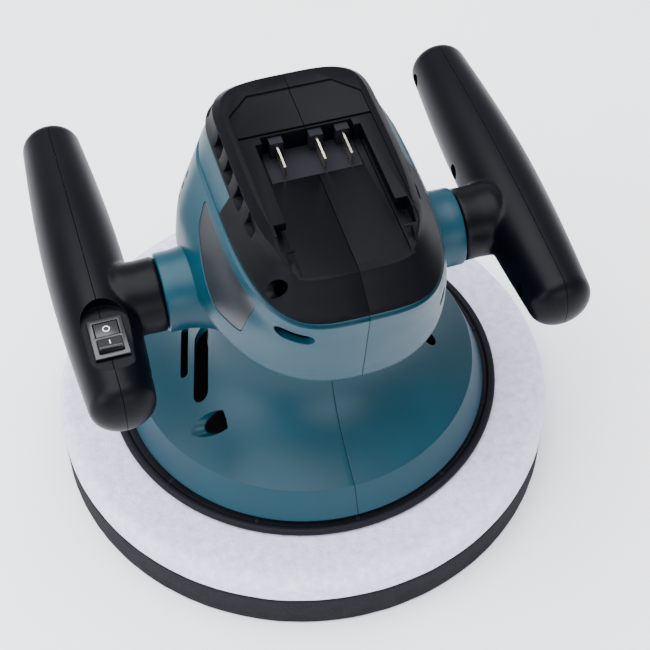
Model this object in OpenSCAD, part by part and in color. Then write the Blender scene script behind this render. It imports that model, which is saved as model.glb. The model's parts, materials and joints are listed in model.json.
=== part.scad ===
// Dual action polisher with an open battery dock and two bar handles.
// Millimetres, +Z up, origin on the motor's axis at the pad's working face.
// The dock's mouth faces -Y and the switch is on the left handle, at -X.

/* [Pad] */
// Diameter of the polishing pad
pad_d = 240; // [200:2:290]
// Thickness of the dark polishing foam
polish_foam_t = 20; // [12:1:30]
// Thickness of the white cushion foam
cushion_foam_t = 14; // [8:1:20]
// Edge rounding of the cushion foam
pad_round = 6; // [2:0.5:7]
// Diameter of the backing plate
plate_d = 189; // [150:1:195]
// Thickness of the backing plate
plate_t = 3; // [2:0.5:5]
// Distance of the pad's axis from the motor's axis
orbit_offset = 3; // [2:0.5:6]

/* [Housing] */
// Diameter of the skirt's lower edge
skirt_d = 174; // [150:2:200]
// Height of the skirt's steep rim band
rim_h = 16; // [10:1:22]
// Diameter of the neck between the skirt and the upper body
neck_d = 86; // [82:1:96]
// Width of the upper body
bulb_w = 110; // [100:1:134]
// Reach of the upper body in front of the motor's axis
bulb_front = 96; // [86:1:112]
// Reach of the upper body behind the motor's axis
bulb_rear = 50; // [48:1:60]
// Wall thickness of the housing halves
wall = 3; // [2.5:0.5:3.5]
// Clearance between the rotating plate and the skirt
skirt_gap = 1.5; // [1:0.5:4]

/* [Dock] */
// Width of the dock over its side rails, at the top
dock_w = 68; // [66:1:72]
// Width of the slot that takes the battery
slot_w = 44; // [40:1:50]
// Depth of the battery slot below the rails
slot_depth = 10; // [8:0.5:12]
// Thickness of a contact blade
blade_t = 0.8; // [0.5:0.1:1.2]
// Height of a contact blade above the dock's floor
blade_h = 6.5; // [4:0.5:8]

/* [Handles] */
// Distance from the upper body's widest line to the handle's axis
handle_reach = 40.4; // [38:1:55]
// Length of the handle in front of the motor's axis
handle_front = 75; // [70:1:90]
// Length of the handle behind the motor's axis
handle_rear = 95.5; // [90:0.5:110]
// Radius of the handle near its front end
grip_front_r = 14.2; // [13.4:0.2:16]
// Radius of the handle near its rear end
grip_rear_r = 13.4; // [12.6:0.2:16]
// How far the grip swells between its ends
grip_swell = 3.6; // [3:0.2:5]
// Wall thickness of the handle shells
grip_wall = 2.6; // [2:0.2:3]

/* [Motor] */
// Outside diameter of the motor can
can_d = 68; // [60:1:70]
// Length of the motor can
can_len = 60; // [50:1:64]
// Diameter of the motor shaft
shaft_d = 10; // [8:0.5:12]

/* [Switch] */
// Length of the switch's bezel, along the handle
bezel_len = 21; // [19:0.5:24]
// Width of the switch's bezel
bezel_w = 15; // [13:0.5:16]
// Full travel of the rocker, in degrees
rocker_travel = 20; // [14:1:24]

/* [Fits] */
// Radial clearance of shafts, bearings and pins in their seats
fit = 0.03; // [0.01:0.01:0.1]
// Gap between two shells that meet at a seam
seam = 0.2; // [0.1:0.05:0.4]

/* [Hidden] */
$fn = 64;
eps = 0.01;

// Pad stack, from the working face up
foam_top = polish_foam_t + cushion_foam_t;
plate_top = foam_top + plate_t;
bead_h = 1;
hub_flange_t = 3;
hub_flange_top = plate_top + hub_flange_t;
spindle_flange_t = 3;
spindle_flange_top = hub_flange_top + spindle_flange_t;

// Eccentric drive
pad_bearing = [14, 6, 8];
hub_base = spindle_flange_top + 1.5;
pocket_base = hub_base + 1.5;
pocket_top = pocket_base + pad_bearing[2];
hub_cavity_top = pocket_top + 3;
hub_top = hub_cavity_top + 12;
weight_r = 31;

// Skirt
skirt_z = plate_top + bead_h + skirt_gap;
rim_z = skirt_z + rim_h;
skirt_r = skirt_d / 2;
crease_r = skirt_r - 6;
neck_r = neck_d / 2;
neck_z = rim_z + 48.5;

// Motor stack
shaft_r = shaft_d / 2;
lower_bearing = [13, shaft_r, 8];
upper_bearing = [11, 4, 7];
mount_z = hub_top + 3;
mount_flange_r = 46;
mount_flange_t = 4;
mount_boss_r = 17;
lower_seat_z = mount_z + 1;
fan_z = lower_seat_z + lower_bearing[2] + 2.5;
fan_h = 9;
fan_r = 37.5;
can_z = fan_z + fan_h + 4.5;
can_r = can_d / 2;
can_wall = 2.2;
can_flange_t = 2;
can_flange_r = can_r + 2.5;
can_top = can_z + can_len;
cap_cavity = 11;
cap_plate_top = can_top + cap_cavity + 3;
upper_seat_z = can_top + cap_cavity;
core_z = can_z + 10;
core_h = can_len - 20;
core_r = can_r - can_wall - 5.5;

// Upper body, with heights above the neck. A row is height, half width, front, rear and the two squarenesses
half_w = bulb_w / 2;
dock_half = dock_w / 2;
chin_h = 39;
bulb_h = 88;
rear_rise = 8;
step_y = -27;
bulb_rows = [
    [-1, neck_r - 0.1, neck_r - 0.1, neck_r - 0.1, 2, 2],
    [14, neck_r + 3, bulb_front - 44, bulb_rear - 5, 2.1, 2],
    [28, half_w - 4, bulb_front - 26, bulb_rear - 3, 2.2, 2],
    [chin_h, half_w, bulb_front - 10, bulb_rear - 1, 2.4, 2],
    [48, half_w - 0.4, bulb_front - 7.5, bulb_rear - 0.5, 2.5, 2],
    [58, half_w - 2, bulb_front - 5.5, bulb_rear - 1.5, 2.6, 2],
    [67, half_w - 5, bulb_front - 4, bulb_rear - 3.5, 2.8, 2],
    [76, half_w - 8.5, bulb_front - 2.5, bulb_rear - 6.5, 3, 2.05],
    [bulb_h - 3.2, half_w - 12, bulb_front - 0.6, bulb_rear - 9.5, 3.6, 2.15],
    [bulb_h - 2.8, half_w - 13.4, bulb_front - 1.6, bulb_rear - 10.5, 3.6, 2.15],
    [bulb_h, half_w - 13.6, bulb_front - 1, bulb_rear - 11.5, 3.8, 2.3],
    [bulb_h + rear_rise, dock_half + 2.8, bulb_front - 4.5, bulb_rear - 17, 4, 2.8]
];
body_top = neck_z + bulb_h;

// Dock, with heights above the upper body's rim
floor_h = 10;
floor_t = 3;
rail_top_h = floor_h + slot_depth;
floor_z = body_top + floor_h;
rail_z = body_top + rail_top_h;
dock_rows = [
    [seam, half_w - 13.3, bulb_front - 0.5, bulb_rear - 10.5, 3.8, 2.3],
    [6, dock_half + 4.2, bulb_front - 9, bulb_rear - 14.5, 4, 3],
    [12, dock_half + 1, bulb_front - 17, bulb_rear - 20, 4.4, 3.6],
    [rail_top_h - 3.5, dock_half - 0.3, bulb_front - 18, bulb_rear - 23, 4.4, 3.8],
    [rail_top_h + 0.5, dock_half - 4, bulb_front - 20, bulb_rear - 27, 4.4, 3.8]
];
slot_half = slot_w / 2;
slot_rear_y = -13;
rail_front_y = -63;
apron_y = -78;
latch_y = [-68, -57];
panel_half = 28;
panel_rear_y = 15;
panel_t = 1;
panel_corner = 9;
lip_h = 4;
block_half = 19;
block_y = [-27, -9.5];
blade_y = [-25.8, -13.2];
blade_x = [-13.2, 3.4, 14.5];
blade_root = 12;
tower_half = 2.8;

// Handles
handle_x = half_w + handle_reach;
handle_z = neck_z + 32;
stub_y = -13;
collar_end = half_w + 12;
collar_r = 17.5;
collar_flare = 9;
collar_flare_len = 19;
tenon_r = 13.8;
grip_screw_y = [-57, 18.5, 82];
screw_r = 1.6;
screw_head_r = 3.1;

// Switch on top of the left handle
switch_x = -handle_x + 1;
switch_y = -41;
switch_z = handle_z + 11.7;
recess_len = 37;
recess_half_w = 10;
recess_floor_t = 2.4;
bezel_t = 1.6;
well_w = 10.6;
well_len = 16.6;
rocker_r = 8;
pivot_z = switch_z + bezel_t - 1;
pivot_r = 1.2;
switch_body_w = 13;
switch_body_len = 18.6;
switch_floor_z = switch_z - 11;

// Screws that join the housing halves, as [y, z]
skirt_screws = [[-36, rim_z + 10], [36, rim_z + 10]];
bulb_screws = [[-72, neck_z + 60], [40, neck_z + 50]];
boss_r = 4;
head_boss_r = 5.3;
head_well_r = 3.5;
head_x = 28;
head_boss_x = 25;
cup_r = 5.3;
cup_wall = 2;
cup_x = 48;

// Screws that join the dock halves, as [y, z]
dock_screw_yz = [[-76, body_top + 4.8], [20, body_top + 12.5]];

// ---- Shape helpers ----

function bezier(p, t) = pow(1 - t, 3) * p[0] + 3 * t * pow(1 - t, 2) * p[1]
    + 3 * t * t * (1 - t) * p[2] + pow(t, 3) * p[3];
function bezier_slope(p, t) = pow(1 - t, 2) * (p[1] - p[0]) + 2 * t * (1 - t) * (p[2] - p[1])
    + t * t * (p[3] - p[2]);
function inward(v) = [-v[1], v[0]] / norm(v);

// Concave flare from the rim's crease to the neck, as radius and height
flare_path = [
    [crease_r, rim_z], [crease_r - 21, rim_z + 11.5], [neck_r + 2, rim_z + 22.5], [neck_r, neck_z]
];
flare_steps = 14;
function flare(depth) = [
    for (i = [0:flare_steps])
        bezier(flare_path, i / flare_steps) + depth * inward(bezier_slope(flare_path, i / flare_steps))
];

// A point on a rounded-rectangle ring: a is the angle, grow moves the ring outwards
function ring_point(row, grow, base, a) = let (
    p = 2 / (sin(a) < 0 ? row[4] : row[5]),
    reach = sin(a) < 0 ? row[2] : row[3]
) [
    (row[1] + grow) * sign(cos(a)) * pow(abs(cos(a)), p),
    (reach + grow) * sign(sin(a)) * pow(abs(sin(a)), p),
    base + row[0]
];

// Left half of a body lofted through rows of rounded-rectangle rings, closed on the plane x = 0
module loft_half(rows, grow, base, steps = 20) {
    n = steps + 1;
    last = len(rows) - 1;
    points = [for (row = rows) for (i = [0:steps]) ring_point(row, grow, base, 90 + 180 * i / steps)];
    sides = [
        for (r = [0:last - 1]) for (i = [0:steps - 1]) for (f = [0, 1])
            f == 0 ? [r * n + i, (r + 1) * n + i, (r + 1) * n + i + 1]
                : [r * n + i, (r + 1) * n + i + 1, r * n + i + 1]
    ];
    middle = [
        for (r = [0:last - 1]) [r * n + steps, (r + 1) * n + steps, (r + 1) * n, r * n]
    ];
    bottom = [[for (i = [0:steps]) i]];
    top = [[for (i = [0:steps]) last * n + steps - i]];
    polyhedron(points, concat(sides, middle, bottom, top));
}

// Unit vectors for a swept tube
function dir(path, i) = let (
    a = path[max(i - 1, 0)],
    b = path[min(i + 1, len(path) - 1)]
) (b - a) / norm(b - a);
function side(v) = let (
    s = abs(v[2]) < 0.8 ? cross(v, [0, 0, 1]) : cross(v, [1, 0, 0])
) s / norm(s);

// Tube of radius r swept along path
module tube(path, r, sides = 8) {
    last = len(path) - 1;
    points = [
        for (i = [0:last]) for (k = [0:sides - 1])
            let (v = dir(path, i), u = side(v), w = cross(v, u), a = 360 * k / sides)
            path[i] + r * (cos(a) * u + sin(a) * w)
    ];
    skin = [
        for (i = [0:last - 1]) for (k = [0:sides - 1]) for (f = [0, 1])
            let (a = i * sides + k, b = i * sides + (k + 1) % sides)
            f == 0 ? [a, a + sides, b + sides] : [a, b + sides, b]
    ];
    ends = [[for (k = [0:sides - 1]) k], [for (k = [0:sides - 1]) last * sides + sides - 1 - k]];
    polyhedron(points, concat(skin, ends));
}

// Cylinder of radius r between two heights
module post(r, z0, z1) {
    translate([0, 0, z0]) cylinder(r = r, h = z1 - z0);
}

// Cylinder along X from x0 to x1
module bar_x(r, x0, x1, y, z) {
    translate([x0, y, z]) rotate([0, 90, 0]) cylinder(r = r, h = x1 - x0);
}

// Box given by its low and high corners
module block(low, high) {
    translate(low) cube(high - low);
}

// Screw with its head's underside at the origin and the shank running down
module screw(shank_r, shank_len, head_r, head_h) {
    difference() {
        union() {
            cylinder(r = head_r, h = head_h);
            post(shank_r, -shank_len, eps);
        }
        for (a = [0, 90]) rotate([0, 0, a])
            block([-head_r * 0.6, -0.4, head_h * 0.45], [head_r * 0.6, 0.4, head_h + 1]);
    }
}

module mirror_x(on) {
    if (on) mirror([1, 0, 0]) children();
    else children();
}

// ---- Pad ----

module polishing_foam() {
    color("#26262a")
    translate([0, orbit_offset, 0])
    rotate_extrude($fn = 128)
    difference() {
        square([pad_d / 2, polish_foam_t]);
        translate([pad_d / 2 - 1.5, 0]) difference() {
            square([3, 1.5]);
            translate([0, 1.5]) circle(r = 1.5, $fn = 32);
        }
    }
}

module cushion_foam() {
    color("#dcdcf0")
    translate([0, orbit_offset, 0])
    rotate_extrude($fn = 128)
    union() {
        translate([0, polish_foam_t]) square([pad_d / 2 - pad_round, cushion_foam_t]);
        translate([0, polish_foam_t]) square([pad_d / 2, cushion_foam_t - pad_round]);
        intersection() {
            translate([pad_d / 2 - pad_round, foam_top - pad_round]) circle(r = pad_round, $fn = 48);
            translate([pad_d / 2 - pad_round, foam_top - pad_round]) square(pad_round);
        }
    }
}

spindle_stud_r = 5;
plate_screw_r = 16;
plate_rib_count = 12;

module backing_plate() {
    color("#18181c")
    translate([0, orbit_offset, 0])
    difference() {
        union() {
            post(plate_d / 2 - bead_h, foam_top, plate_top - 0.5);
            rotate_extrude($fn = 128)
                translate([plate_d / 2 - 2, foam_top + 2]) circle(r = 2, $fn = 32);
            for (i = [0:plate_rib_count - 1]) rotate([0, 0, i * 360 / plate_rib_count])
                block([28, -1, foam_top + 1], [plate_d / 2 - 4, 1, plate_top]);
        }
        post(spindle_stud_r + fit, foam_top - 1, plate_top + 1);
        for (a = [45:90:315]) rotate([0, 0, a]) translate([plate_screw_r, 0, 0])
            post(screw_r + fit, foam_top - 1, plate_top + 1);
        post(foam_top, plate_top - 0.5, plate_top + 1);
    }
}

module plate_hub() {
    color("#8a8c90")
    translate([0, orbit_offset, 0])
    difference() {
        post(23, plate_top - 0.5, hub_flange_top);
        post(spindle_stud_r + fit, foam_top, hub_flange_top + 1);
        for (a = [45:90:315]) rotate([0, 0, a]) translate([plate_screw_r, 0, 0])
            post(screw_r + fit, foam_top, hub_flange_top + 1);
    }
}

module plate_screws() {
    color("#9a9aa0")
    translate([0, orbit_offset, 0])
    for (a = [45:90:315]) rotate([0, 0, a]) translate([plate_screw_r, 0, hub_flange_top])
        screw(screw_r, hub_flange_top - foam_top - 0.3, 2.8, 2);
}

spindle_r = pad_bearing[1] - fit;
spindle_shoulder_r = 8;

module pad_spindle() {
    color("#a8aaae")
    translate([0, orbit_offset, 0])
    difference() {
        union() {
            post(spindle_stud_r, foam_top + 0.3, hub_flange_top + eps);
            post(12, hub_flange_top, spindle_flange_top);
            post(spindle_shoulder_r, spindle_flange_top - eps, pocket_base);
            post(spindle_r, pocket_base - eps, pocket_top + 2);
        }
        difference() {
            post(spindle_r + 1, pocket_top + 0.2, pocket_top + 1.2);
            post(spindle_r - 0.7, pocket_top, pocket_top + 2);
        }
    }
}

// Open spring ring for a groove of radius r
module circlip(r, width, z, t, ang) {
    rotate([0, 0, ang]) difference() {
        post(r + width, z, z + t);
        post(r, z - 1, z + t + 1);
        block([0, -2, z - 1], [r + width + 1, 2, z + t + 1]);
    }
}

module spindle_circlip() {
    color("#707276")
    translate([0, orbit_offset, 0])
    circlip(spindle_r - 0.7 + fit, 2, pocket_top + 0.25, 0.9, 90);
}

// ---- Bearings: size is [outer radius, bore radius, width] ----

function ball_r(size) = (size[0] - size[1]) * 0.27;
function pitch_r(size) = (size[0] + size[1]) / 2;
function race_t(size) = (size[0] - size[1]) * 0.3;
race_gap = 0.03;

module bearing_groove(size, z) {
    translate([0, 0, z + size[2] / 2]) rotate_extrude()
        translate([pitch_r(size), 0]) circle(r = ball_r(size) + race_gap, $fn = 48);
}

module bearing_outer(size, z) {
    difference() {
        post(size[0] - fit, z, z + size[2]);
        post(size[0] - race_t(size), z - 1, z + size[2] + 1);
        bearing_groove(size, z);
    }
}

module bearing_inner(size, z) {
    difference() {
        post(size[1] + race_t(size), z, z + size[2]);
        post(size[1], z - 1, z + size[2] + 1);
        bearing_groove(size, z);
    }
}

module bearing_balls(size, z) {
    count = 8;
    for (i = [0:count - 1]) rotate([0, 0, i * 360 / count])
        translate([pitch_r(size), 0, z + size[2] / 2]) sphere(r = ball_r(size), $fn = 32);
}

module pad_bearing_outer() {
    color("#b8babe") translate([0, orbit_offset, 0]) bearing_outer(pad_bearing, pocket_base);
}

module pad_bearing_inner() {
    color("#b8babe") translate([0, orbit_offset, 0]) bearing_inner(pad_bearing, pocket_base);
}

module pad_bearing_balls() {
    color("#d0d2d6") translate([0, orbit_offset, 0]) bearing_balls(pad_bearing, pocket_base);
}

module lower_bearing_outer() {
    color("#b8babe") bearing_outer(lower_bearing, lower_seat_z);
}

module lower_bearing_inner() {
    color("#b8babe") bearing_inner(lower_bearing, lower_seat_z);
}

module lower_bearing_balls() {
    color("#d0d2d6") bearing_balls(lower_bearing, lower_seat_z);
}

module upper_bearing_outer() {
    color("#b8babe") bearing_outer(upper_bearing, upper_seat_z);
}

module upper_bearing_inner() {
    color("#b8babe") bearing_inner(upper_bearing, upper_seat_z);
}

module upper_bearing_balls() {
    color("#d0d2d6") bearing_balls(upper_bearing, upper_seat_z);
}

// ---- Rotor ----

hub_boss_r = 13;
hub_foot_r = pad_bearing[0] + 4;
set_screw_z = hub_cavity_top + 6;

module eccentric_hub() {
    color("#5c5e62")
    difference() {
        union() {
            translate([0, orbit_offset, 0]) post(hub_foot_r, hub_base, hub_cavity_top + 2);
            post(hub_boss_r, hub_cavity_top + 2 - eps, hub_top);
            translate([0, 0, hub_cavity_top - 1]) rotate([0, 0, 180])
                rotate_extrude(angle = 180) square([weight_r, 11]);
        }
        translate([0, orbit_offset, 0]) {
            post(pad_bearing[0], hub_base + 1.4, pocket_top);
            post(pad_bearing[0] - 1, hub_base - 1, hub_base + 2);
            post(pad_bearing[0] - 3, pocket_top - 1, hub_cavity_top);
            difference() {
                post(pad_bearing[0] + 0.8, hub_base + 0.4, pocket_base);
                post(pad_bearing[0] - 2, hub_base, pocket_base + 1);
            }
        }
        post(shaft_r, hub_cavity_top + 1, hub_top + 1);
        bar_x(2, 0, hub_boss_r + 8, 0, set_screw_z);
    }
}

module hub_set_screw() {
    color("#303034")
    difference() {
        bar_x(2 - fit, shaft_r + 0.05, hub_boss_r - 0.5, 0, set_screw_z);
        bar_x(1, hub_boss_r - 3, hub_boss_r, 0, set_screw_z);
    }
}

module hub_circlip() {
    color("#707276")
    translate([0, orbit_offset, 0])
    circlip(pad_bearing[0] - 1.6, 2.2, hub_base + 0.5, 0.9, 90);
}

shaft_tip_z = upper_seat_z + upper_bearing[2] + 1.5;

module motor_shaft() {
    color("#a8aaae")
    union() {
        post(shaft_r - fit, hub_cavity_top + 1.2, upper_seat_z - 0.3);
        post(upper_bearing[1] - fit, upper_seat_z - 0.3 - eps, shaft_tip_z);
    }
}

slot_count = 12;

module armature_core() {
    color("#6a6c70")
    difference() {
        post(core_r, core_z, core_z + core_h);
        post(shaft_r, core_z - 1, core_z + core_h + 1);
        for (i = [0:slot_count - 1]) rotate([0, 0, i * 360 / slot_count])
            block([core_r * 0.62, -1.8, core_z - 1], [core_r + 1, 1.8, core_z + core_h + 1]);
    }
}

module winding_ring(z0, z1) {
    rotate_extrude() translate([shaft_r + 2, 0]) square([core_r - shaft_r - 4, 0.1] + [0, z1 - z0 - 0.1]);
}

module armature_windings() {
    color("#b8652a")
    union() {
        translate([0, 0, core_z - 6.2]) winding_ring(0, 6);
        translate([0, 0, core_z + core_h + 0.2]) winding_ring(0, 6);
        for (i = [0:slot_count - 1]) rotate([0, 0, i * 360 / slot_count])
            block([core_r * 0.66, -1.5, core_z - 1], [core_r - 3, 1.5, core_z + core_h + 1]);
    }
}

comm_z = core_z + core_h + 7;
comm_r = 10;

module commutator() {
    color("#c47a3c")
    difference() {
        post(comm_r, comm_z, upper_seat_z - 1);
        post(shaft_r, comm_z - 1, upper_seat_z);
        for (i = [0:slot_count - 1]) rotate([0, 0, i * 360 / slot_count])
            block([comm_r - 1.2, -0.3, comm_z - 1], [comm_r + 1, 0.3, upper_seat_z]);
    }
}

fan_blades = 11;

module cooling_fan() {
    color("#1c1c20")
    difference() {
        union() {
            post(9, fan_z, fan_z + fan_h);
            post(fan_r, fan_z, fan_z + 1.4);
            for (i = [0:fan_blades - 1]) rotate([0, 0, i * 360 / fan_blades])
                translate([0, 3, 0]) block([13, -0.7, fan_z], [fan_r - 1, 0.7, fan_z + fan_h]);
        }
        post(shaft_r, fan_z - 1, fan_z + fan_h + 1);
    }
}

// ---- Motor ----

module motor_can() {
    color("#84868a")
    difference() {
        union() {
            post(can_r, can_z, can_top);
            post(can_flange_r, can_z, can_z + can_flange_t);
        }
        post(can_r - can_wall, can_z - 1, can_top + 1);
    }
}

module motor_magnets() {
    color("#3a3c42")
    for (a = [20, 200]) rotate([0, 0, a])
        rotate_extrude(angle = 140)
        translate([core_r + 0.8, core_z - 2]) square([can_r - can_wall - fit - core_r - 0.8, core_h + 4]);
}

cap_boss_r = 14;
cap_top = shaft_tip_z + 2;

module motor_end_cap() {
    color("#2a2a2e")
    difference() {
        union() {
            post(can_r, can_top + 0.1, cap_plate_top);
            post(cap_boss_r, cap_plate_top - eps, cap_top);
        }
        post(can_r - 3, can_top - 1, can_top + cap_cavity - 1);
        post(upper_bearing[0], can_top, upper_seat_z + upper_bearing[2]);
        post(6, upper_seat_z, shaft_tip_z + 0.6);
        for (a = [30:60:330]) rotate([0, 0, a]) translate([22, 0, 0])
            post(3.5, cap_plate_top - 6, cap_plate_top + 1);
    }
}

brush_z = can_top + 5.5;
brush_w = 7;
brush_h = 5;
holder_x = [13, can_r - 3.6];

module brush_holders() {
    color("#c8a850")
    for (s = [0, 1]) mirror_x(s == 1)
    difference() {
        block([holder_x[0], -brush_w / 2 - 1, brush_z - brush_h / 2 - 1],
            [holder_x[1], brush_w / 2 + 1, brush_z + brush_h / 2 + 1]);
        block([holder_x[0] - 1, -brush_w / 2 - 0.1, brush_z - brush_h / 2 - 0.1],
            [holder_x[1] - 1, brush_w / 2 + 0.1, brush_z + brush_h / 2 + 0.1]);
    }
}

brush_tail = 20;

module carbon_brushes() {
    color("#333338")
    for (s = [0, 1]) mirror_x(s == 1)
    difference() {
        block([comm_r - 2, -brush_w / 2, brush_z - brush_h / 2], [brush_tail, brush_w / 2, brush_z + brush_h / 2]);
        post(comm_r + 0.05, can_top, upper_seat_z);
    }
}

spring_turns = 5;
spring_steps = 60;

module brush_springs() {
    color("#b8babe")
    for (s = [0, 1]) mirror_x(s == 1)
    tube([
        for (i = [0:spring_steps]) let (t = i / spring_steps, a = 360 * spring_turns * t)
            [brush_tail + 0.4 + t * (holder_x[1] - brush_tail - 1.9), 1.8 * cos(a), brush_z + 1.8 * sin(a)]
    ], 0.25, 6);
}

vent_count = 6;

module motor_mount() {
    color("#909296")
    difference() {
        union() {
            post(mount_flange_r, mount_z, mount_z + mount_flange_t);
            post(mount_boss_r, mount_z - 1.2, lower_seat_z + lower_bearing[2] + 0.5);
        }
        post(lower_bearing[0], lower_seat_z, lower_seat_z + lower_bearing[2] + 1);
        post(shaft_r + 2.5, mount_z - 3, lower_seat_z + 1);
        for (i = [0:vent_count - 1]) rotate([0, 0, (i + 0.5) * 360 / vent_count])
            translate([31, 0, 0]) post(8, mount_z - 1, mount_z + mount_flange_t + 1);
    }
}

// ---- Housing ----

// Outline of the skirt shell's section, with the rings that clamp the mount and the motor can
module skirt_section() {
    polygon(concat([[skirt_r, skirt_z]], flare(0), [[neck_r - wall, neck_z]], reverse_list(flare(wall)),
        [[crease_r - wall, rim_z - 2.4], [skirt_r - wall, skirt_z]]));
    intersection() {
        polygon(concat([[0, skirt_z], [skirt_r, skirt_z]], flare(0), [[0, neck_z]]));
        difference() {
            union() {
                translate([mount_flange_r - 2.5, mount_z - 2.6]) square([20, mount_flange_t + 5.2]);
                translate([can_flange_r - 1.5, can_z - 2.6]) square([20, can_flange_t + 5.2]);
            }
            translate([0, mount_z - 0.1]) square([mount_flange_r + 0.2, mount_flange_t + 0.2]);
            translate([0, can_z - 0.1]) square([can_flange_r + 0.2, can_flange_t + 0.2]);
            translate([0, can_z + can_flange_t]) square([can_r + 0.2, 10]);
        }
    }
}

function reverse_list(list) = [for (i = [len(list) - 1:-1:0]) list[i]];

module collar() {
    translate([0, stub_y, handle_z]) rotate([0, -90, 0]) rotate_extrude()
        polygon(concat(
            [[0, half_w - 15], [collar_r + collar_flare, half_w - 15]],
            [
                for (a = [0:15:90])
                    [collar_r + collar_flare * (1 - sin(a)), collar_end - 5 - collar_flare_len * cos(a)]
            ],
            [[collar_r, collar_end - 1], [collar_r - 1, collar_end], [0, collar_end]]
        ));
}

plate_shape = [[-12, 82], [-70, 80], [-63, 56], [-45, 53], [-16, 70]];

// Prism of the name plate's outline, from height z above the neck
module plate_prism(grow) {
    rotate([90, 0, -90]) linear_extrude(half_w + 20)
        offset(delta = grow) polygon([for (p = plate_shape) [-p[0], neck_z + p[1]]]);
}

// Bosses for the screws at the given [y, z] places, wider where the head's well is
module screw_bosses(places) {
    for (p = places) {
        bar_x(boss_r, -skirt_r, 0, p[0], p[1]);
        bar_x(head_boss_r, -skirt_r, -head_boss_x, p[0], p[1]);
    }
}

last_row = bulb_rows[len(bulb_rows) - 1];

module bulb_features() {
    block([-half_w, -26, neck_z + 34], [0, 26, neck_z + 37]);
    screw_bosses(bulb_screws);
}

// Long slot with round ends from a to b in plan, cut straight down through the flare
module flare_vent(a, b, w) {
    v = b - a;
    translate([a[0], a[1], 0]) rotate([0, 0, atan2(v[1], v[0])]) {
        for (d = [0, norm(v)]) translate([d, 0, 0]) post(w / 2, rim_z + 3, neck_z - 4);
        block([0, -w / 2, rim_z + 3], [norm(v), w / 2, neck_z - 4]);
    }
}

vent_x = [-30.5, -24];
vent_z = neck_z + 74;
vent_r = 3.4;

// Short horizontal slot below the dock's front-left corner
module front_vent() {
    for (x = vent_x) translate([x, -bulb_front - 5, vent_z]) rotate([-90, 0, 0]) cylinder(r = vent_r, h = 35);
    block([vent_x[0], -bulb_front - 5, vent_z - vent_r], [vent_x[1], -bulb_front + 30, vent_z + vent_r]);
}

// Left half, or the right half before it is mirrored. The skirt's screws go in from the left and the body's
// from the right
module housing_half(left) {
    difference() {
        union() {
            rotate([0, 0, 90]) rotate_extrude(angle = 180, $fn = 96) skirt_section();
            difference() {
                union() {
                    loft_half(bulb_rows, 0, neck_z);
                    intersection() {
                        collar();
                        block([-collar_end - 1, -60, handle_z - 45], [0, 60, handle_z + 45]);
                    }
                }
                loft_half(concat(bulb_rows, [last_row + [2, -0.5, -0.5, -0.5, 0, 0]]), -wall, neck_z);
            }
            intersection() {
                loft_half(bulb_rows, -1, neck_z);
                bulb_features();
            }
            intersection() {
                rotate([0, 0, 90]) rotate_extrude(angle = 180, $fn = 96)
                    polygon(concat([[0, skirt_z], [skirt_r - 1, skirt_z]], flare(1), [[0, neck_z]]));
                union() {
                    screw_bosses(skirt_screws);
                    if (left)
                        bar_x(cup_r + cup_wall, -skirt_r, -cup_x + cup_wall, skirt_screws[0][0], skirt_screws[0][1]);
                }
            }
        }
        bar_x(tenon_r + 0.1, -collar_end - 1, -half_w + 12, stub_y, handle_z);
        post(can_r + 0.2, can_z + can_flange_t, neck_z + 40);
        for (p = left ? skirt_screws : bulb_screws) {
            bar_x(screw_r + 0.2, -head_x - 1, 1, p[0], p[1]);
            bar_x(head_well_r, -skirt_r, -head_x, p[0], p[1]);
        }
        for (p = left ? bulb_screws : skirt_screws) bar_x(screw_r, -22, 1, p[0], p[1]);
        if (left) bar_x(cup_r, -skirt_r, -cup_x, skirt_screws[0][0], skirt_screws[0][1]);
        flare_vent([-60, -7], [-54, 15], 3.6);
        flare_vent([-55.5, -21], [-48.5, 2], 7);
        block([-100, -150, body_top], [10, step_y, body_top + 20]);
        for (z = [0:2]) translate([-half_w, 14, neck_z + 72 - z * 6]) rotate([0, 90, 0]) cylinder(r = 1.6, h = 30);
        if (left) front_vent();
        block([-seam / 2, -bulb_front - 20, 0], [10, bulb_front + 20, body_top + 10]);
        if (left) difference() {
            plate_prism(0.3);
            loft_half(bulb_rows, -1, neck_z);
        }
    }
}

module housing_left() {
    color("#0e6e80") housing_half(true);
}

module housing_right() {
    color("#0e6e80") mirror([1, 0, 0]) housing_half(false);
}

module name_plate() {
    color("#3a3c40")
    intersection() {
        plate_prism(0);
        difference() {
            loft_half(bulb_rows, -0.1, neck_z);
            loft_half(bulb_rows, -0.9, neck_z);
        }
    }
}

housing_screw_head = 2.2;

module housing_screws() {
    color("#8c8e92")
    for (right = [false, true]) mirror_x(right)
        for (p = right ? bulb_screws : skirt_screws)
        translate([-head_x, p[0], p[1]]) rotate([0, -90, 0])
        screw(screw_r - 0.05, head_x + 16, screw_head_r, housing_screw_head);
}

// ---- Dock ----

lip_rows = [
    [-lip_h, half_w - 17.4, bulb_front - 5.6, bulb_rear - 15, 3.6, 2.2],
    [seam + 2.5, half_w - 17.4, bulb_front - 5.6, bulb_rear - 15, 3.6, 2.2]
];
lip_core = [for (i = [0, 1]) lip_rows[i] + [i * 2 - 1, 0, 0, 0, 0, 0]];
rib_pitch = 15;

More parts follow.
